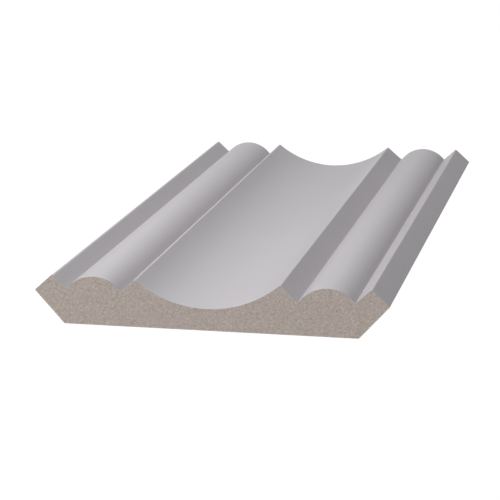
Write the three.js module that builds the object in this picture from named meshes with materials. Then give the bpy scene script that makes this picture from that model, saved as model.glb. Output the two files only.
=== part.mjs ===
// A short length of crown moulding, milled from one strip of medium-density fibreboard (MDF).
//
// The strip lies on its flat back: X runs across the profile, Y along the length, Z up out of the
// back. The origin is the middle of the underside. The front carries, from side to side, a sharp
// outer arris, a round bead, an inner arris, a wide cove, and then the same again mirrored. Two
// bevels on the back seat against the wall and the ceiling. Sizes are millimetres.

import * as THREE from "three";

// Overall sizes
const WIDTH = 114.3; // across the two seat corners, a 4 1/2 inch crown
const THICKNESS = 15.875; // a 5/8 inch board
const LENGTH = 250;

// Back and seats
const BACK_WIDTH = 95; // flat part of the back, between the bevels
const SEAT_CORNER_HEIGHT = 10.65; // where each bevel meets the front

// Outer arrises and beads, nearly alike on both sides
const LEFT_OUTER_ARRIS = new THREE.Vector2(-51.4, THICKNESS);
const RIGHT_OUTER_ARRIS = new THREE.Vector2(51.3, THICKNESS);
const OUTER_FLANK_ANGLE = THREE.MathUtils.degToRad(42.7); // slope from the arris down to the bead
const LEFT_BEAD_CROWN = new THREE.Vector2(-37.8, 15.8); // the highest point of a bead
const RIGHT_BEAD_CROWN = new THREE.Vector2(37.65, 15.57);
const BEAD_RADIUS = 11.15;

// Cove, cut about a millimetre off centre, which leaves its left arris a little lower
const COVE_RADIUS = 36.3;
const LEFT_COVE_ARRIS = new THREE.Vector2(-24.4, 15.5);
const RIGHT_COVE_ARRIS = new THREE.Vector2(22.4, 15.8);
const LEFT_INNER_FLANK_ANGLE = THREE.MathUtils.degToRad(44.5); // from the arris down to the bead
const RIGHT_INNER_FLANK_ANGLE = THREE.MathUtils.degToRad(40.6);

// Facets of the round stretches
const BEAD_FACETS = 28;
const COVE_FACETS = 48;

const LEFT = -1;
const RIGHT = 1;

// Where a flank that starts at an arris, and falls towards `side`, first meets a bead.
function flankMeetsBead(arris, angle, side, bead) {
  const fall = new THREE.Vector2(side * Math.cos(angle), -Math.sin(angle));
  const fromBead = arris.clone().sub(bead);
  const half = fromBead.dot(fall);
  const reach = -half - Math.sqrt(half * half - fromBead.lengthSq() + BEAD_RADIUS ** 2);
  return arris.clone().addScaledVector(fall, reach);
}

// Centre of the circle of this radius that passes through two points and lies above them.
function centreAbove(left, right, radius) {
  const chord = right.clone().sub(left);
  const rise = Math.sqrt(radius ** 2 - chord.lengthSq() / 4);
  const across = new THREE.Vector2(-chord.y, chord.x).normalize();
  return left.clone().add(right).multiplyScalar(0.5).addScaledVector(across, rise);
}

// Points of an arc about a centre, both ends included, the short way round.
function arcPoints(centre, start, end, facets) {
  const from = start.clone().sub(centre).angle();
  let sweep = end.clone().sub(centre).angle() - from;
  if (sweep > Math.PI) sweep -= 2 * Math.PI;
  if (sweep < -Math.PI) sweep += 2 * Math.PI;
  const radius = start.distanceTo(centre);
  return Array.from({ length: facets + 1 }, (_, i) => {
    const angle = from + (sweep * i) / facets;
    return new THREE.Vector2(Math.cos(angle), Math.sin(angle)).multiplyScalar(radius).add(centre);
  });
}

// The front of one side, from its outer arris in to the cove: the arris, then the bead between
// its two grooves.
function sideFront(side, outerArris, beadCrown, coveArris, innerFlankAngle) {
  const bead = beadCrown.clone().sub(new THREE.Vector2(0, BEAD_RADIUS));
  const outerGroove = flankMeetsBead(outerArris, OUTER_FLANK_ANGLE, -side, bead);
  const innerGroove = flankMeetsBead(coveArris, innerFlankAngle, side, bead);
  return [outerArris, ...arcPoints(bead, outerGroove, innerGroove, BEAD_FACETS)];
}

// The closed outline of the section, anticlockwise from the left end of the flat back.
function profile() {
  const coveCentre = centreAbove(LEFT_COVE_ARRIS, RIGHT_COVE_ARRIS, COVE_RADIUS);
  const rightFront = sideFront(
    RIGHT,
    RIGHT_OUTER_ARRIS,
    RIGHT_BEAD_CROWN,
    RIGHT_COVE_ARRIS,
    RIGHT_INNER_FLANK_ANGLE,
  );
  const leftFront = sideFront(
    LEFT,
    LEFT_OUTER_ARRIS,
    LEFT_BEAD_CROWN,
    LEFT_COVE_ARRIS,
    LEFT_INNER_FLANK_ANGLE,
  );
  return [
    new THREE.Vector2((LEFT * BACK_WIDTH) / 2, 0),
    new THREE.Vector2((RIGHT * BACK_WIDTH) / 2, 0),
    new THREE.Vector2((RIGHT * WIDTH) / 2, SEAT_CORNER_HEIGHT),
    ...rightFront,
    ...arcPoints(coveCentre, RIGHT_COVE_ARRIS, LEFT_COVE_ARRIS, COVE_FACETS),
    ...leftFront.reverse(),
    new THREE.Vector2((LEFT * WIDTH) / 2, SEAT_CORNER_HEIGHT),
  ];
}

// The strip: the section drawn upright and pushed out along the length.
function mouldingStrip() {
  const primer = new THREE.MeshStandardMaterial({ color: 0xc6c5c8, roughness: 0.55, metalness: 0 });
  const geometry = new THREE.ExtrudeGeometry(new THREE.Shape(profile()), {
    depth: LENGTH,
    steps: 1,
    bevelEnabled: false,
  });
  const strip = new THREE.Mesh(geometry, primer);
  strip.name = "crown_moulding";
  strip.rotation.x = Math.PI / 2;
  strip.position.y = LENGTH / 2;
  return strip;
}

const part = new THREE.Group();
part.add(mouldingStrip());

export default part;
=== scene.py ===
"""Dresses a short length of primed fibreboard crown moulding and shows it on a pale studio floor.

The strip lies on its flat back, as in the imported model: X runs across the section, Y along the
length, and Z up out of the back. Sizes and places are metres.
"""

import logging
import math
import random
from dataclasses import dataclass, field
from enum import IntEnum
from typing import ClassVar

import bpy
import numpy as np
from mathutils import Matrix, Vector, geometry, noise


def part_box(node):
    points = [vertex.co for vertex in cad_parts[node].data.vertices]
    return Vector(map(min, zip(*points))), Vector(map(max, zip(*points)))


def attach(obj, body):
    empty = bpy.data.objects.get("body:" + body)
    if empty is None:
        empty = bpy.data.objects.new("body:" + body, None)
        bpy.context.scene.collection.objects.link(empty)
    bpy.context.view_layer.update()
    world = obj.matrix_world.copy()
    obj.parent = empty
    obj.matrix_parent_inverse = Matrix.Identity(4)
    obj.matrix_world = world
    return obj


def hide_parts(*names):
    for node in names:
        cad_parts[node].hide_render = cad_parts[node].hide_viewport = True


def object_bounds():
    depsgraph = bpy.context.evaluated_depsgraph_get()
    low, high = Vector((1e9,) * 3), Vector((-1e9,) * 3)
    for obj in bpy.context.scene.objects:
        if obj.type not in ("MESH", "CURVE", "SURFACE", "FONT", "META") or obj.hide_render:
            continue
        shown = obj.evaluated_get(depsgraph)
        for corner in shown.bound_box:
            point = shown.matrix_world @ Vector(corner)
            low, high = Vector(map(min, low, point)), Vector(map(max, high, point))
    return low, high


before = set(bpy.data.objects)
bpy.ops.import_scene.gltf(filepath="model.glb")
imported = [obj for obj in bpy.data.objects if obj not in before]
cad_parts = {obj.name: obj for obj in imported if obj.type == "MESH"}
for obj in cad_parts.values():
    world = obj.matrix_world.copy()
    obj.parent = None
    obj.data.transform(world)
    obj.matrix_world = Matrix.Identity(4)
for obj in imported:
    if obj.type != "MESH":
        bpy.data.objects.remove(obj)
CAD_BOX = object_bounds()

LOG = logging.getLogger("crown_moulding")
STRIP_NAME = "primed_crown_moulding"
STRIP_NODE = "crown_moulding"
STRIP_BODY = "root"
Socket = bpy.types.NodeSocket
Colour = tuple[float, float, float, float]
WHITE: Colour = (1.0, 1.0, 1.0, 1.0)


class Surface(IntEnum):
    """The strip's finishes, numbered as the material slots of its mesh."""

    PRIMED = 0
    SAWN = 1
    SANDED = 2


class Side(IntEnum):
    """The two sides of the section, as signs along X."""

    LEFT = -1
    RIGHT = 1


class End(IntEnum):
    """The two cut ends of the strip, as signs along Y."""

    NEAR = -1
    FAR = 1


def display_colour(red: int, green: int, blue: int) -> Colour:
    """Turns a colour as a screen shows it into the linear one that shaders take.

    Args:
        red: Red, from 0 to 255.
        green: Green, from 0 to 255.
        blue: Blue, from 0 to 255.

    Returns:
        The linear colour, fully opaque.
    """
    shares = [value / 255 for value in (red, green, blue)]
    linear = [s / 12.92 if s <= 0.04045 else ((s + 0.055) / 1.055) ** 2.4 for s in shares]
    return (*linear, 1.0)


@dataclass(frozen=True)
class Straight:
    """A straight stretch of the section's outline."""

    start: np.ndarray
    end: np.ndarray
    surface: Surface

    @property
    def length(self) -> float:
        """Length of the stretch."""
        return float(np.linalg.norm(self.end - self.start))

    def at(self, distance: float) -> np.ndarray:
        """The point this far along the stretch."""
        return self.start + (self.end - self.start) * (distance / self.length)


@dataclass(frozen=True)
class Arc:
    """A circular stretch of the section's outline, the short way from start to end."""

    start: np.ndarray
    end: np.ndarray
    centre: np.ndarray
    surface: Surface

    @property
    def radius(self) -> float:
        """Radius of the circle."""
        return float(np.linalg.norm(self.start - self.centre))

    @property
    def turn(self) -> float:
        """Angle from start to end, positive anticlockwise."""
        first = self.start - self.centre
        last = self.end - self.centre
        return math.atan2(first[0] * last[1] - first[1] * last[0], first @ last)

    @property
    def length(self) -> float:
        """Length along the arc."""
        return abs(self.turn) * self.radius

    def at(self, distance: float) -> np.ndarray:
        """The point this far along the arc."""
        first = self.start - self.centre
        angle = math.atan2(first[1], first[0]) + self.turn * distance / self.length
        return self.centre + self.radius * np.array((math.cos(angle), math.sin(angle)))


@dataclass(frozen=True)
class Outline:
    """The eased section as a closed ring of points, anticlockwise.

    Attributes:
        points: Places of the points, one row each.
        inward: Unit directions from each point into the wood.
        surfaces: The finish of the edge that follows each point.
        travel: Distance of each point along the ring.
    """

    points: np.ndarray
    inward: np.ndarray
    surfaces: list[Surface]
    travel: np.ndarray


@dataclass(frozen=True)
class SideSizes:
    """The sizes that differ between the section's two sides.

    Attributes:
        side: Which side it is.
        outer_arris: Distance of the outer arris from the middle.
        bead_crown: The highest point of the bead.
        cove_arris: The arris between this side and the cove.
        inner_flank_angle: Slope of the flank below that arris, in radians.
        arris_ease: How far its arrises are eased back.
    """

    side: Side
    outer_arris: float
    bead_crown: tuple[float, float]
    cove_arris: tuple[float, float]
    inner_flank_angle: float
    arris_ease: float


@dataclass(frozen=True)
class Section:
    """The strip's section: a cove between two beads, on a flat back with bevelled seats."""

    width: float
    thickness: float
    left: SideSizes = SideSizes(
        side=Side.LEFT,
        outer_arris=0.0514,
        bead_crown=(-0.0378, 0.0158),
        cove_arris=(-0.0244, 0.0155),
        inner_flank_angle=math.radians(44.5),
        arris_ease=0.0007,
    )
    right: SideSizes = SideSizes(
        side=Side.RIGHT,
        outer_arris=0.0513,
        bead_crown=(0.03765, 0.01557),
        cove_arris=(0.0224, 0.0158),
        inner_flank_angle=math.radians(40.6),
        arris_ease=0.0004,
    )
    back_width: float = 0.095
    seat_corner_height: float = 0.01065
    outer_flank_angle: float = math.radians(42.7)
    bead_radius: float = 0.01115
    bead_slope: float = math.radians(47.0)
    cove_radius: float = 0.0363
    groove_ease: float = 0.00012
    seat_ease: float = 0.0002
    back_ease: float = 0.00045
    point_spacing: float = 0.0005
    ease_steps: int = 6

    def groove(
        self, arris: np.ndarray, angle: float, side: int, bead: np.ndarray
    ) -> tuple[np.ndarray, np.ndarray]:
        """Finds where a flank that falls from an arris meets the slope that runs off a bead.

        Args:
            arris: The flank's upper end.
            angle: Its slope below the level, in radians.
            side: The sign of X that it falls towards.
            bead: The bead's centre.

        Returns:
            The bottom of the groove, and the point where the bead's curve runs into its slope.
        """
        fall = np.array((side * math.cos(angle), -math.sin(angle)))
        lean, rise = math.sin(self.bead_slope), math.cos(self.bead_slope)
        slope = np.array((-side * rise, -lean))
        touch = bead + self.bead_radius * np.array((-side * lean, rise))
        reach = np.linalg.solve(np.column_stack((fall, -slope)), touch - arris)[0]
        return arris + fall * reach, touch

    def cove_centre(self) -> np.ndarray:
        """Centre of the cove's circle, above the strip."""
        left, right = np.array(self.left.cove_arris), np.array(self.right.cove_arris)
        chord = right - left
        rise = math.sqrt(self.cove_radius**2 - float(chord @ chord) / 4)
        across = np.array((-chord[1], chord[0])) / np.linalg.norm(chord)
        return (left + right) / 2 + across * rise

    def side_front(self, sizes: SideSizes) -> list[Straight | Arc]:
        """Lays out one side's front, from its seat corner in to the cove, for the right side's order.

        Args:
            sizes: The sizes of that side.

        Returns:
            The facet, the outer flank, the bead with a slope on each side, and the inner flank.
        """
        side = sizes.side
        seat_corner = np.array((side * self.width / 2, self.seat_corner_height))
        outer_arris = np.array((side * sizes.outer_arris, self.thickness))
        cove_arris = np.array(sizes.cove_arris)
        bead = np.array(sizes.bead_crown) - np.array((0.0, self.bead_radius))
        outer_groove, outer_touch = self.groove(outer_arris, self.outer_flank_angle, -side, bead)
        inner_groove, inner_touch = self.groove(cove_arris, sizes.inner_flank_angle, side, bead)
        return [
            Straight(seat_corner, outer_arris, Surface.PRIMED),
            Straight(outer_arris, outer_groove, Surface.PRIMED),
            Straight(outer_groove, outer_touch, Surface.PRIMED),
            Arc(outer_touch, inner_touch, bead, Surface.PRIMED),
            Straight(inner_touch, inner_groove, Surface.PRIMED),
            Straight(inner_groove, cove_arris, Surface.PRIMED),
        ]

    def stretches(self) -> list[Straight | Arc]:
        """Lays out the sharp outline, anticlockwise from the left end of the flat back."""
        left_back = np.array((Side.LEFT * self.back_width / 2, 0.0))
        right_back = np.array((Side.RIGHT * self.back_width / 2, 0.0))
        right_front = self.side_front(self.right)
        left_front = [turned(stretch) for stretch in reversed(self.side_front(self.left))]
        cove = Arc(right_front[-1].end, left_front[0].start, self.cove_centre(), Surface.PRIMED)
        return [
            Straight(left_back, right_back, Surface.SANDED),
            Straight(right_back, right_front[0].start, Surface.SANDED),
            *right_front,
            cove,
            *left_front,
            Straight(left_front[-1].end, left_back, Surface.SANDED),
        ]

    def ease_between(self, before: Straight | Arc, after: Straight | Arc) -> float:
        """How far the corner between two stretches is eased back along each."""
        if before.surface == after.surface == Surface.SANDED:
            return self.back_ease
        if before.surface != after.surface:
            return self.seat_ease
        step = 1e-6
        heading = before.end - before.at(before.length - step)
        turning = after.at(step) - after.start
        is_groove = heading[0] * turning[1] - heading[1] * turning[0] < 0
        if is_groove:
            return self.groove_ease
        return self.left.arris_ease if after.start[0] < 0 else self.right.arris_ease

    def outline(self) -> Outline:
        """Samples the outline, with each corner eased by a short curve."""
        stretches = self.stretches()
        points: list[np.ndarray] = []
        surfaces: list[Surface] = []
        for index, stretch in enumerate(stretches):
            before = stretches[index - 1]
            after = stretches[(index + 1) % len(stretches)]
            first = self.ease_between(before, stretch)
            last = stretch.length - self.ease_between(stretch, after)
            corner_start = before.at(before.length - first)
            finish = min(before.surface, stretch.surface)
            for step in range(self.ease_steps):
                share = step / self.ease_steps
                points.append(
                    corner_start * (1 - share) ** 2
                    + stretch.start * 2 * share * (1 - share)
                    + stretch.at(first) * share**2
                )
                surfaces.append(finish)
            count = max(1, round((last - first) / self.point_spacing))
            for distance in np.linspace(first, last, count, endpoint=False):
                points.append(stretch.at(float(distance)))
                surfaces.append(stretch.surface)
        ring = np.array(points)
        along = np.roll(ring, -1, axis=0) - np.roll(ring, 1, axis=0)
        along /= np.linalg.norm(along, axis=1, keepdims=True)
        inward = np.column_stack((-along[:, 1], along[:, 0]))
        steps = np.linalg.norm(np.roll(ring, -1, axis=0) - ring, axis=1)
        travel = np.concatenate(([0.0], np.cumsum(steps)[:-1]))
        return Outline(ring, inward, surfaces, travel)


def turned(stretch: Straight | Arc) -> Straight | Arc:
    """The same stretch, run from its end to its start."""
    if isinstance(stretch, Arc):
        return Arc(stretch.end, stretch.start, stretch.centre, stretch.surface)
    return Straight(stretch.end, stretch.start, stretch.surface)


class NodeBench:
    """Adds and joins the nodes of one shader tree.

    The MIX numbers are the places of a Mix node's sockets for colours, whose names aren't unique.
    """

    MIX_SHARE = 0
    MIX_FIRST = 6
    MIX_SECOND = 7
    MIX_RESULT = 2

    def __init__(self, tree: bpy.types.NodeTree) -> None:
        """Starts from an empty tree."""
        self.tree = tree
        self.tree.nodes.clear()

    def add(self, kind: str, inputs: dict | None = None, **settings: object) -> bpy.types.Node:
        """Adds one node.

        Args:
            kind: The node's Blender type.
            inputs: Values for its inputs, or sockets to join to them, by name or place.
            **settings: Values for its properties.

        Returns:
            The new node.
        """
        node = self.tree.nodes.new(kind)
        for name, value in settings.items():
            setattr(node, name, value)
        for key, value in (inputs or {}).items():
            if isinstance(value, bpy.types.NodeSocket):
                self.tree.links.new(value, node.inputs[key])
            else:
                node.inputs[key].default_value = value
        return node

    def math(self, operation: str, *values: float | Socket) -> Socket:
        """Adds a Math node and gives its result."""
        return self.add("ShaderNodeMath", dict(enumerate(values)), operation=operation).outputs[0]

    def ramp(self, value: Socket, low: float, high: float, start: float, end: float) -> Socket:
        """Maps a value from low..high smoothly to start..end, and holds it there beyond."""
        inputs = {"Value": value, "From Min": low, "From Max": high, "To Min": start, "To Max": end}
        return self.add("ShaderNodeMapRange", inputs, interpolation_type="SMOOTHSTEP").outputs[0]

    def spread(self, value: Socket, start: float, end: float) -> Socket:
        """Maps a noise value from 0..1 evenly to start..end."""
        inputs = {"Value": value, "To Min": start, "To Max": end}
        return self.add("ShaderNodeMapRange", inputs).outputs[0]

    def blend(
        self, share: Socket, first: Colour | Socket, second: Colour | Socket, kind: str = "MIX"
    ) -> Socket:
        """Mixes two colours and gives the result."""
        inputs = {self.MIX_SHARE: share, self.MIX_FIRST: first, self.MIX_SECOND: second}
        mix = self.add("ShaderNodeMix", inputs, data_type="RGBA", blend_type=kind)
        return mix.outputs[self.MIX_RESULT]

    def position(self) -> Socket:
        """The place on the piece, in its own metres."""
        return self.add("ShaderNodeTexCoord").outputs["Object"]

    def noise(self, place: Socket, size: float | Socket, detail: float, seed: float) -> Socket:
        """Adds a noise with features of a given size, in metres, and gives its value."""
        scale = self.math("DIVIDE", 1.0, size) if isinstance(size, bpy.types.NodeSocket) else 1 / size
        inputs = {"Vector": place, "W": seed, "Scale": scale, "Detail": detail}
        return self.add("ShaderNodeTexNoise", inputs, noise_dimensions="4D").outputs[0]

    def group(self, tree: bpy.types.NodeTree, inputs: dict) -> bpy.types.Node:
        """Places a shared node group with its own values."""
        return self.add("ShaderNodeGroup", inputs, node_tree=tree)


class SharedEffect:
    """A shader node group that several finishes use, built when it is first asked for."""

    NAME: ClassVar[str]
    INPUTS: ClassVar[dict[str, str]]
    OUTPUTS: ClassVar[tuple[str, ...]]

    @classmethod
    def tree(cls) -> bpy.types.NodeTree:
        """Gives the group, and builds it if it isn't there yet."""
        existing = bpy.data.node_groups.get(cls.NAME)
        if existing:
            return existing
        tree = bpy.data.node_groups.new(cls.NAME, "ShaderNodeTree")
        for name, kind in cls.INPUTS.items():
            tree.interface.new_socket(name, in_out="INPUT", socket_type=kind)
        for name in cls.OUTPUTS:
            tree.interface.new_socket(name, in_out="OUTPUT", socket_type="NodeSocketFloat")
        bench = NodeBench(tree)
        given = bench.add("NodeGroupInput").outputs
        made = cls.wire(bench, {name: given[name] for name in cls.INPUTS})
        bench.add("NodeGroupOutput", made)
        return tree

    @classmethod
    def wire(cls, bench: NodeBench, given: dict[str, Socket]) -> dict[str, Socket]:
        """Adds the group's nodes.

        Args:
            bench: Where the nodes go.
            given: The group's inputs by name.

        Returns:
            A socket for each of the group's outputs, by name.
        """
        raise NotImplementedError


class SlowMottle(SharedEffect):
    """Soft patches a few millimetres to centimetres wide."""

    NAME = "slow_mottle"
    INPUTS = {"Position": "NodeSocketVector", "Patch Size": "NodeSocketFloat"}
    OUTPUTS = ("Shade", "Tint")
    SHADE_SEED = 1.7
    SHADE_DETAIL = 2.0
    TINT_SEED = 8.3
    TINT_DETAIL = 1.0

    @classmethod
    def wire(cls, bench: NodeBench, given: dict[str, Socket]) -> dict[str, Socket]:
        """Adds two unlike noises of the same patch size. Args and Returns as in SharedEffect."""
        place, size = given["Position"], given["Patch Size"]
        return {
            "Shade": bench.noise(place, size, cls.SHADE_DETAIL, cls.SHADE_SEED),
            "Tint": bench.noise(place, size, cls.TINT_DETAIL, cls.TINT_SEED),
        }


class FibreSpeckle(SharedEffect):
    """The pale fibres and dark pits of bare fibreboard."""

    NAME = "fibre_speckle"
    INPUTS = {
        "Position": "NodeSocketVector",
        "Fleck Size": "NodeSocketFloat",
        "Pit Share": "NodeSocketFloat",
    }
    OUTPUTS = ("Tone", "Height")
    GRAIN_SEED = 3.1
    GRAIN_DETAIL = 2.0
    FLECK_SEED = 5.9
    PIT_SEED = 11.3
    SPOT_DETAIL = 1.0
    PIT_TO_FLECK = 1.5
    FLECK_BAND = (0.52, 0.78)
    PIT_BAND = (0.60, 0.74)
    FLECK_LIFT = 0.35
    PIT_DROP = 0.5

    @classmethod
    def wire(cls, bench: NodeBench, given: dict[str, Socket]) -> dict[str, Socket]:
        """Adds an even grain, pale flecks and sparse pits. Args and Returns as in SharedEffect."""
        place, size = given["Position"], given["Fleck Size"]
        grain = bench.noise(place, size, cls.GRAIN_DETAIL, cls.GRAIN_SEED)
        pit_size = bench.math("MULTIPLY", size, cls.PIT_TO_FLECK)
        fleck = bench.noise(place, size, cls.SPOT_DETAIL, cls.FLECK_SEED)
        fleck = bench.ramp(fleck, *cls.FLECK_BAND, 0.0, cls.FLECK_LIFT)
        pit = bench.noise(place, pit_size, cls.SPOT_DETAIL, cls.PIT_SEED)
        pit = bench.ramp(pit, *cls.PIT_BAND, 0.0, 1.0)
        pit = bench.math("MULTIPLY", pit, given["Pit Share"])
        lifted = bench.math("ADD", grain, fleck)
        tone = bench.math("SUBTRACT", lifted, bench.math("MULTIPLY", pit, cls.PIT_DROP))
        height = bench.math("SUBTRACT", grain, pit)
        return {"Tone": tone, "Height": height}


class LongStreaks(SharedEffect):
    """Fine streaks along the strip, as sanding belts and coating lines leave them."""

    NAME = "long_streaks"
    INPUTS = {
        "Position": "NodeSocketVector",
        "Pitch": "NodeSocketFloat",
        "Squeeze": "NodeSocketFloat",
    }
    OUTPUTS = ("Streak",)
    SEED = 6.0
    DETAIL = 2.0

    @classmethod
    def wire(cls, bench: NodeBench, given: dict[str, Socket]) -> dict[str, Socket]:
        """Adds a noise drawn out along Y. Args and Returns as in SharedEffect."""
        squeeze = bench.add("ShaderNodeCombineXYZ", {"X": 1.0, "Y": given["Squeeze"], "Z": 1.0})
        factors = {0: given["Position"], 1: squeeze.outputs[0]}
        drawn = bench.add("ShaderNodeVectorMath", factors, operation="MULTIPLY")
        return {"Streak": bench.noise(drawn.outputs[0], given["Pitch"], cls.DETAIL, cls.SEED)}


@dataclass(frozen=True)
class PrimerCoat:
    """A sprayed satin primer, light grey, smooth with a faint orange peel."""

    pale: Colour = display_colour(178, 174, 178)
    deep: Colour = display_colour(174, 170, 174)
    roughness: tuple[float, float] = (0.36, 0.44)
    patch_size: float = 0.022
    peel_size: float = 0.0013
    peel_depth: float = 0.000006
    fibre_size: float = 0.0004
    fibre_share: float = 0.35
    streak_pitch: float = 0.0011
    streak_squeeze: float = 0.02
    streak_share: float = 0.5
    name: ClassVar[str] = "primer_coat"
    PEEL_SEED: ClassVar[float] = 2.0
    FIBRE_SEED: ClassVar[float] = 4.0
    NOISE_DETAIL: ClassVar[float] = 1.0

    def material(self) -> bpy.types.Material:
        """Makes the material."""
        material = bpy.data.materials.new(self.name)
        material.use_nodes = True
        bench = NodeBench(material.node_tree)
        place = bench.position()
        mottle = bench.group(SlowMottle.tree(), {"Position": place, "Patch Size": self.patch_size})
        streaks = bench.group(
            LongStreaks.tree(),
            {"Position": place, "Pitch": self.streak_pitch, "Squeeze": self.streak_squeeze},
        )
        peel = bench.noise(place, self.peel_size, self.NOISE_DETAIL, self.PEEL_SEED)
        fibres = bench.noise(place, self.fibre_size, self.NOISE_DETAIL, self.FIBRE_SEED)
        height = bench.math("ADD", peel, bench.math("MULTIPLY", fibres, self.fibre_share))
        lines = bench.math("MULTIPLY", streaks.outputs["Streak"], self.streak_share)
        height = bench.math("ADD", height, lines)
        bump = bench.add("ShaderNodeBump", {"Height": height, "Distance": self.peel_depth})
        shader = bench.add(
            "ShaderNodeBsdfPrincipled",
            {
                "Base Color": bench.blend(mottle.outputs["Shade"], self.deep, self.pale),
                "Roughness": bench.spread(mottle.outputs["Tint"], *self.roughness),
                "Normal": bump.outputs[0],
            },
        )
        bench.add("ShaderNodeOutputMaterial", {"Surface": shader.outputs[0]})
        return material


@dataclass(frozen=True)
class Overspray:
    """Primer that drifted past the front's edge and thins out down the bare seats."""

    colour: Colour
    full_height: float
    clear_height: float
    mist_size: float
    mist_reach: float
    MIST_SEED: ClassVar[float] = 13.7
    MIST_DETAIL: ClassVar[float] = 3.0

    def over(self, bench: NodeBench, place: Socket, board: Socket) -> Socket:
        """Lays the mist over the board's colour.

        Args:
            bench: Where the nodes go.
            place: The place on the piece.
            board: The bare board's colour.

        Returns:
            The colour with the mist on it.
        """
        height = bench.add("ShaderNodeSeparateXYZ", {0: place}).outputs["Z"]
        drops = bench.noise(place, self.mist_size, self.MIST_DETAIL, self.MIST_SEED)
        ragged = bench.math("ADD", height, bench.spread(drops, -self.mist_reach, self.mist_reach))
        share = bench.ramp(ragged, self.clear_height, self.full_height, 0.0, 1.0)
        return bench.blend(share, board, self.colour)


@dataclass(frozen=True)
class BareFibreboard:
    """Bare fibreboard, sawn on the ends or sanded on the back and the seats."""

    name: str
    dark: Colour
    pale: Colour
    blush: Colour
    fleck_size: float
    tone_range: tuple[float, float]
    pit_share: float
    tint_share: float
    patch_size: float
    pit_depth: float
    roughness: float
    streak_share: float = 0.0
    streak_pitch: float = 0.0007
    streak_squeeze: float = 0.023
    overspray: Overspray | None = None

    def material(self) -> bpy.types.Material:
        """Makes the material."""
        material = bpy.data.materials.new(self.name)
        material.use_nodes = True
        bench = NodeBench(material.node_tree)
        place = bench.position()
        speckle = bench.group(
            FibreSpeckle.tree(),
            {"Position": place, "Fleck Size": self.fleck_size, "Pit Share": self.pit_share},
        )
        mottle = bench.group(SlowMottle.tree(), {"Position": place, "Patch Size": self.patch_size})
        tone = speckle.outputs["Tone"]
        if self.streak_share:
            streaks = bench.group(
                LongStreaks.tree(),
                {"Position": place, "Pitch": self.streak_pitch, "Squeeze": self.streak_squeeze},
            )
            lines = bench.spread(streaks.outputs["Streak"], -self.streak_share, self.streak_share)
            tone = bench.math("ADD", tone, lines)
        share = bench.add(
            "ShaderNodeMapRange",
            {"Value": tone, "From Min": self.tone_range[0], "From Max": self.tone_range[1]},
        ).outputs[0]
        colour = bench.blend(share, self.dark, self.pale)
        tint = bench.spread(mottle.outputs["Tint"], 0.0, self.tint_share)
        colour = bench.blend(tint, colour, self.blush, "MULTIPLY")
        if self.overspray:
            colour = self.overspray.over(bench, place, colour)
        bump = bench.add(
            "ShaderNodeBump", {"Height": speckle.outputs["Height"], "Distance": self.pit_depth}
        )
        shader = bench.add(
            "ShaderNodeBsdfPrincipled",
            {"Base Color": colour, "Roughness": self.roughness, "Normal": bump.outputs[0]},
        )
        bench.add("ShaderNodeOutputMaterial", {"Surface": shader.outputs[0]})
        return material


SAWN_FIBREBOARD = BareFibreboard(
    name="sawn_fibreboard",
    dark=display_colour(145, 139, 126),
    pale=display_colour(203, 195, 182),
    blush=(1.1, 0.97, 1.12, 1.0),
    fleck_size=0.00056,
    tone_range=(0.1, 1.0),
    pit_share=0.35,
    tint_share=1.0,
    patch_size=0.004,
    pit_depth=0.00006,
    roughness=0.9,
)
SANDED_FIBREBOARD = BareFibreboard(
    name="sanded_fibreboard",
    dark=display_colour(128, 118, 109),
    pale=display_colour(182, 171, 161),
    blush=(1.06, 0.97, 0.92, 1.0),
    fleck_size=0.0006,
    tone_range=(0.0, 1.0),
    pit_share=0.3,
    tint_share=0.5,
    patch_size=0.012,
    pit_depth=0.00002,
    roughness=0.8,
    streak_share=0.18,
    overspray=Overspray(
        colour=display_colour(175, 172, 175),
        full_height=0.0108,
        clear_height=0.0066,
        mist_size=0.0005,
        mist_reach=0.0035,
    ),
)


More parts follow.
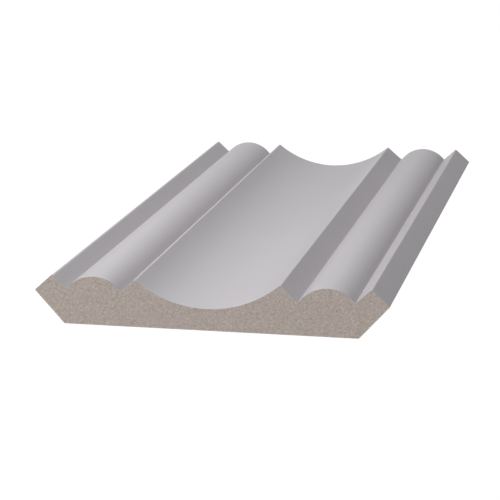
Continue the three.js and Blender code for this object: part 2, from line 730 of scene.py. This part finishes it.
@dataclass
class CrownMoulding:
    """The strip itself: the eased section, run along the length and cut square at both ends."""

    section: Section
    length: float
    film: float = 0.00006
    film_wander: float = 0.00002
    cut_ease: float = 0.00003
    chip_depth: float = 0.00006
    chip_size: float = 0.0011
    cap_spacing: float = 0.00036
    cap_margin: float = 0.00022
    cap_jitter: float = 0.3
    margin_kept: float = 0.6
    relief_depth: float = 0.00005
    relief_size: float = 0.0007
    stations: int = 24
    seed: int = 7
    outline: Outline = field(init=False)
    CHIP_SEED: ClassVar[float] = 0.5
    FILM_SEED: ClassVar[float] = 3.5
    WANDER_END_OFFSET: ClassVar[float] = 10.0
    RELIEF_END_OFFSET: ClassVar[float] = 20.0
    RELIEF_SMOOTHNESS: ClassVar[float] = 0.8
    RELIEF_FINENESS: ClassVar[float] = 2.1
    RELIEF_LAYERS: ClassVar[int] = 3
    CHIP_CLEARANCE: ClassVar[float] = 4
    FILL_INSIDE: ClassVar[int] = 1
    FILL_TOLERANCE: ClassVar[float] = 1e-9

    def __post_init__(self) -> None:
        """Samples the section once."""
        self.outline = self.section.outline()

    def wander(self, end: End, size: float, seed: float) -> np.ndarray:
        """Gives a smooth uneven value from -1 to 1 at each point of the ring.

        Args:
            end: Which end of the strip it is for.
            size: Length of its waves along the ring.
            seed: Picks one wave pattern.

        Returns:
            One value for each point of the outline.
        """
        places = self.outline.travel / size
        offset = end * self.WANDER_END_OFFSET
        return np.array([noise.noise(Vector((place, offset, seed))) for place in places])

    def coat_edge(self, end: End) -> np.ndarray:
        """The ring where the front and back surfaces stop, a hair short of the saw cut."""
        chips = np.clip(self.wander(end, self.chip_size, self.CHIP_SEED), 0.0, 1.0)
        ease = self.cut_ease + self.chip_depth * chips
        across = self.outline.points
        return np.column_stack((across[:, 0], end * (self.length / 2 - ease), across[:, 1]))

    def cut_edge(self, end: End) -> np.ndarray:
        """The ring round the sawn face, inside the film of primer."""
        unevenness = self.wander(end, self.chip_size / 2, self.FILM_SEED)
        depth = self.film + self.film_wander * unevenness
        across = self.outline.points + self.outline.inward * depth[:, None]
        ends = np.full(len(across), end * self.length / 2)
        return np.column_stack((across[:, 0], ends, across[:, 1]))

    def cap(self, end: End, ring: np.ndarray) -> tuple[np.ndarray, list[list[int]]]:
        """Fills one sawn face with small triangles that carry the cut's relief.

        Args:
            end: Which end of the strip.
            ring: The face's border.

        Returns:
            The places of the inner points, and the triangles, numbered with the ring first.
        """
        border = ring[:, [0, 2]]
        inner = self.inner_points(border, random.Random(self.seed + end))
        flat = [Vector(p) for p in np.vstack((border, inner))]
        edges = [(i, (i + 1) % len(border)) for i in range(len(border))]
        _, _, triangles, *_ = geometry.delaunay_2d_cdt(
            flat, edges, [], self.FILL_INSIDE, self.FILL_TOLERANCE
        )
        relief = [self.relief_at(x, z, end) for x, z in inner]
        depth = end * (self.length / 2 - np.array(relief))
        places = np.column_stack((inner[:, 0], depth, inner[:, 1]))
        return places, [list(triangle) for triangle in triangles]

    def inner_points(self, border: np.ndarray, draw: random.Random) -> np.ndarray:
        """Scatters points evenly over a sawn face, clear of its border."""
        lowest = int(np.argmin(border[:, 0]))
        highest = int(np.argmax(border[:, 0]))
        under = np.roll(border, -lowest, axis=0)[: (highest - lowest) % len(border) + 1]
        over = np.roll(border, -highest, axis=0)[: (lowest - highest) % len(border) + 1][::-1]
        spacing, jitter = self.cap_spacing, self.cap_jitter
        inner = []
        for column in np.arange(border[lowest, 0] + spacing, border[highest, 0], spacing):
            floor = np.interp(column, under[:, 0], under[:, 1])
            roof = np.interp(column, over[:, 0], over[:, 1])
            for row in np.arange(floor + self.cap_margin, roof - self.cap_margin, spacing):
                shift = [draw.uniform(-jitter, jitter) * spacing for _ in range(2)]
                inner.append((column + shift[0], row + shift[1]))
        points = np.array(inner)
        floor = np.interp(points[:, 0], under[:, 0], under[:, 1])
        roof = np.interp(points[:, 0], over[:, 0], over[:, 1])
        room = np.minimum(points[:, 1] - floor, roof - points[:, 1])
        return points[room > self.cap_margin * self.margin_kept]

    def relief_at(self, across: float, height: float, end: End) -> float:
        """How far the saw's torn fibres lie below the cut at one place."""
        offset = end * self.RELIEF_END_OFFSET
        place = Vector((across / self.relief_size, offset, height / self.relief_size))
        torn = noise.fractal(
            place, self.RELIEF_SMOOTHNESS, self.RELIEF_FINENESS, self.RELIEF_LAYERS
        )
        return self.relief_depth * max(0.0, 0.5 + 0.5 * torn)

    def build(self) -> bpy.types.Object:
        """Makes the strip's closed mesh, with a finish for each face."""
        ring_size = len(self.outline.points)
        reach = self.length / 2 - self.CHIP_CLEARANCE * (self.cut_ease + self.chip_depth)
        rings = [self.cut_edge(End.NEAR), self.coat_edge(End.NEAR)]
        for along in np.linspace(-reach, reach, self.stations):
            across = self.outline.points
            rings.append(np.column_stack((across[:, 0], np.full(ring_size, along), across[:, 1])))
        rings += [self.coat_edge(End.FAR), self.cut_edge(End.FAR)]
        faces: list[list[int]] = []
        finishes: list[Surface] = []
        for index in range(len(rings) - 1):
            for step in range(ring_size):
                low = index * ring_size + step
                side = index * ring_size + (step + 1) % ring_size
                faces.append([low, side, side + ring_size, low + ring_size])
                finish = self.outline.surfaces[step]
                is_cut = index in (0, len(rings) - 2)
                finishes.append(Surface.SAWN if is_cut and finish != Surface.PRIMED else finish)
        places = list(rings)
        for end, ring_start in ((End.NEAR, 0), (End.FAR, (len(rings) - 1) * ring_size)):
            inner_start = sum(len(p) for p in places)
            inner, triangles = self.cap(end, rings[0] if end == End.NEAR else rings[-1])
            places.append(inner)
            for triangle in triangles:
                ids = [
                    ring_start + v if v < ring_size else inner_start + v - ring_size
                    for v in triangle
                ]
                faces.append(ids if end == End.NEAR else ids[::-1])
                finishes.append(Surface.SAWN)
        return self.as_object(np.vstack(places), faces, finishes, len(rings))

    def as_object(
        self, places: np.ndarray, faces: list[list[int]], finishes: list[Surface], ring_count: int
    ) -> bpy.types.Object:
        """Turns points and faces into a smooth-shaded object with sharp cut edges.

        Args:
            places: The points, ring by ring and then the sawn faces' inner ones.
            faces: The points of each face.
            finishes: The finish of each face.
            ring_count: How many rings there are; the first and last two border the saw cuts.

        Returns:
            The strip, in the scene.
        """
        mesh = bpy.data.meshes.new(STRIP_NAME)
        mesh.from_pydata([tuple(p) for p in places], [], faces)
        mesh.polygons.foreach_set("material_index", [int(f) for f in finishes])
        mesh.polygons.foreach_set("use_smooth", [True] * len(faces))
        cut_rings = (0, 1, ring_count - 2, ring_count - 1)
        ring_size = len(self.outline.points)
        for edge in mesh.edges:
            first, second = (vertex // ring_size for vertex in edge.vertices)
            edge.use_edge_sharp = first == second and first in cut_rings
        mesh.validate()
        mesh.update()
        piece = bpy.data.objects.new(STRIP_NAME, mesh)
        bpy.context.scene.collection.objects.link(piece)
        return piece

    def dress(self, piece: bpy.types.Object) -> None:
        """Gives the strip its three finishes, in the order of Surface."""
        for finish in (PrimerCoat(), SAWN_FIBREBOARD, SANDED_FIBREBOARD):
            piece.data.materials.append(finish.material())


@dataclass(frozen=True)
class StudioLamp:
    """A square soft lamp, facing the middle of the strip's back."""

    name: str
    place: tuple[float, float, float]
    size: float
    power: float

    def build(self) -> None:
        """Hangs the lamp."""
        light = bpy.data.lights.new(self.name, "AREA")
        light.size = self.size
        light.energy = self.power
        lamp = bpy.data.objects.new(self.name, light)
        lamp.location = self.place
        lamp.rotation_euler = (-Vector(self.place)).to_track_quat("-Z", "Y").to_euler()
        bpy.context.scene.collection.objects.link(lamp)


@dataclass(frozen=True)
class StudioCamera:
    """The camera, level and to the right of the strip's line, looking down on its near end."""

    place: tuple[float, float, float] = (0.13876, -0.74793, 0.17281)
    azimuth: float = math.radians(11.416)
    look_down: float = math.radians(12.941)
    lens: float = 150.84
    sensor: float = 36.0
    nearest: float = 0.01

    def build(self) -> None:
        """Sets up the scene's camera."""
        camera = bpy.data.objects.new("camera", bpy.data.cameras.new("camera"))
        camera.data.sensor_width = self.sensor
        camera.data.lens = self.lens
        camera.data.clip_start = self.nearest
        camera.location = self.place
        camera.rotation_euler = (math.pi / 2 - self.look_down, 0.0, self.azimuth)
        bpy.context.scene.collection.objects.link(camera)
        bpy.context.scene.camera = camera


@dataclass(frozen=True)
class Studio:
    """A white floor, soft lamps and a white surround that gives no light.

    The floor glows by itself and reflects little, so hardly any shadow shows on it.
    """

    floor_reach: float = 4.0
    floor_gap: float = 0.00005
    floor_pale: Colour = display_colour(44, 44, 45)
    floor_deep: Colour = display_colour(42, 42, 43)
    floor_patch: float = 0.05
    floor_detail: float = 2.0
    floor_seed: float = 0.0
    floor_glow: float = 0.98
    floor_roughness: float = 0.9
    lamps: tuple[StudioLamp, ...] = (
        StudioLamp("key_lamp", place=(-0.314, -0.314, 0.635), size=0.34, power=6.29),
        StudioLamp("back_lamp", place=(-0.109, 0.777, 0.509), size=0.98, power=1.47),
        StudioLamp("side_lamp", place=(0.957, 0.293, 0.625), size=0.97, power=2.72),
        StudioLamp("low_lamp", place=(-0.491, 0.606, 0.253), size=0.68, power=0.55),
        StudioLamp("glint_lamp", place=(-0.073, 0.523, 0.547), size=0.33, power=0.75),
    )

    def floor(self) -> None:
        """Lays the floor, just under the strip."""
        reach = self.floor_reach
        mesh = bpy.data.meshes.new("studio_floor")
        corners = [(-reach, -reach, 0), (reach, -reach, 0), (reach, reach, 0), (-reach, reach, 0)]
        mesh.from_pydata(corners, [], [(0, 1, 2, 3)])
        floor = bpy.data.objects.new("studio_floor", mesh)
        floor.location.z = CAD_BOX[0].z - self.floor_gap
        bpy.context.scene.collection.objects.link(floor)
        material = bpy.data.materials.new("pale_paper")
        material.use_nodes = True
        bench = NodeBench(material.node_tree)
        place = bench.position()
        grain = bench.noise(place, self.floor_patch, self.floor_detail, self.floor_seed)
        paper = bench.blend(grain, self.floor_deep, self.floor_pale)
        shader = bench.add(
            "ShaderNodeBsdfPrincipled",
            {
                "Base Color": paper,
                "Roughness": self.floor_roughness,
                "Emission Color": WHITE,
                "Emission Strength": self.floor_glow,
            },
        )
        bench.add("ShaderNodeOutputMaterial", {"Surface": shader.outputs[0]})
        mesh.materials.append(material)

    def build(self) -> None:
        """Sets up the floor, the lamps, the surround and how the picture is developed."""
        self.floor()
        for lamp in self.lamps:
            lamp.build()
        scene = bpy.context.scene
        scene.world = bpy.data.worlds.new("white_surround")
        scene.world.use_nodes = True
        bench = NodeBench(scene.world.node_tree)
        seen = bench.add("ShaderNodeLightPath").outputs["Is Camera Ray"]
        surround = bench.add("ShaderNodeBackground", {"Color": WHITE, "Strength": seen})
        bench.add("ShaderNodeOutputWorld", {"Surface": surround.outputs[0]})
        scene.view_settings.view_transform = "Standard"
        scene.view_settings.look = "None"


def main() -> None:
    """Builds and dresses the strip, then sets the studio round it."""
    logging.basicConfig(level=logging.INFO, format="%(message)s")
    low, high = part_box(STRIP_NODE)
    size = high - low
    moulding = CrownMoulding(Section(size.x, size.z), size.y)
    strip = moulding.build()
    moulding.dress(strip)
    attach(strip, STRIP_BODY)
    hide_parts(STRIP_NODE)
    LOG.info("%s: %d points, %d faces", strip.name, len(strip.data.vertices), len(strip.data.polygons))
    StudioCamera().build()
    Studio().build()


if __name__ == "__main__":
    main()
